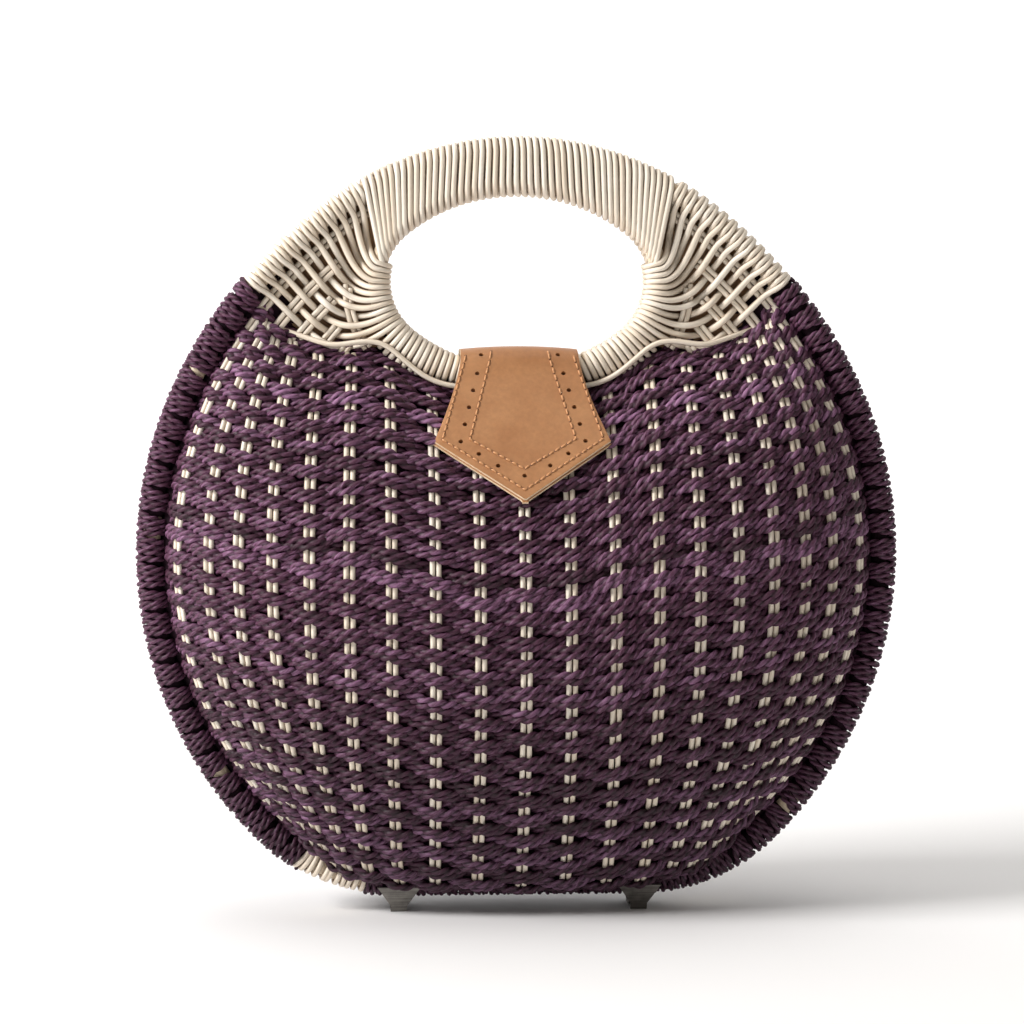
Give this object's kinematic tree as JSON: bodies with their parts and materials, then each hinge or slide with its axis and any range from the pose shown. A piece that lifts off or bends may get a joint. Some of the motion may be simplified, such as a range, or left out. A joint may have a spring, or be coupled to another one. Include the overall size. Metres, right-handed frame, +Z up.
{
  "type": "round woven handbag",
  "caption": "Round rigid handbag of woven cord shells on bent cane rims, hinged at the foot, with a reed-wrapped handle built into the rims and a pointed leather flap.",
  "frame": {"origin": "middle of the resting plane, under the hinge line", "axes": "+X to the right as the front is seen, -Y out of the front shell, +Z up from the hinges to the handle"},
  "size_m": [0.3004, 0.1198, 0.3053],
  "materials": {
    "cane": "bare",
    "natural_reed": "bare",
    "dyed_cord": "matte",
    "tan_leather": "satin",
    "steel": "brushed"
  },
  "bodies": {
    "back_half": {"back_hoop": "cane", "back_ring": "cane", "back_rim_wrap": "dyed_cord", "back_ring_wrap": "natural_reed", "back_grip_wrap": "natural_reed", "back_shoulder_wrap_left": "natural_reed", "back_shoulder_left": "natural_reed", "back_shoulder_wrap_right": "natural_reed", "back_shoulder_right": "natural_reed", "back_weave": "dyed_cord", "back_stakes": "natural_reed", "back_hinge_tacks": "steel", "hinge_left_back_leaf": "steel", "hinge_right_back_leaf": "steel", "hinge_left_pin": "steel", "hinge_right_pin": "steel", "flap_anchor": "tan_leather", "flap_anchor_rivets": "steel"},
    "front_half": {"front_hoop": "cane", "front_ring": "cane", "front_rim_wrap": "dyed_cord", "front_ring_wrap": "natural_reed", "front_grip_wrap": "natural_reed", "front_shoulder_wrap_left": "natural_reed", "front_shoulder_left": "natural_reed", "front_shoulder_wrap_right": "natural_reed", "front_shoulder_right": "natural_reed", "front_weave": "dyed_cord", "front_stakes": "natural_reed", "front_hinge_tacks": "steel", "front_snap": "steel", "hinge_left_front_leaf": "steel", "hinge_right_front_leaf": "steel"},
    "flap": {"flap_outer": "tan_leather", "flap_inner": "tan_leather", "flap_magnet": "steel"}
  },
  "joints": [
    {"name": "front_open", "type": "hinge", "parent": "back_half", "child": "front_half", "pos_m": [0, 0, 0.002], "axis": [1, 0, 0], "range_deg": [0, 75]},
    {"name": "flap_lift", "type": "hinge", "parent": "back_half", "child": "flap", "pos_m": [0, 0.0082, 0.22039], "axis": [-1, 0, 0], "range_deg": [0, 95]}
  ]
}
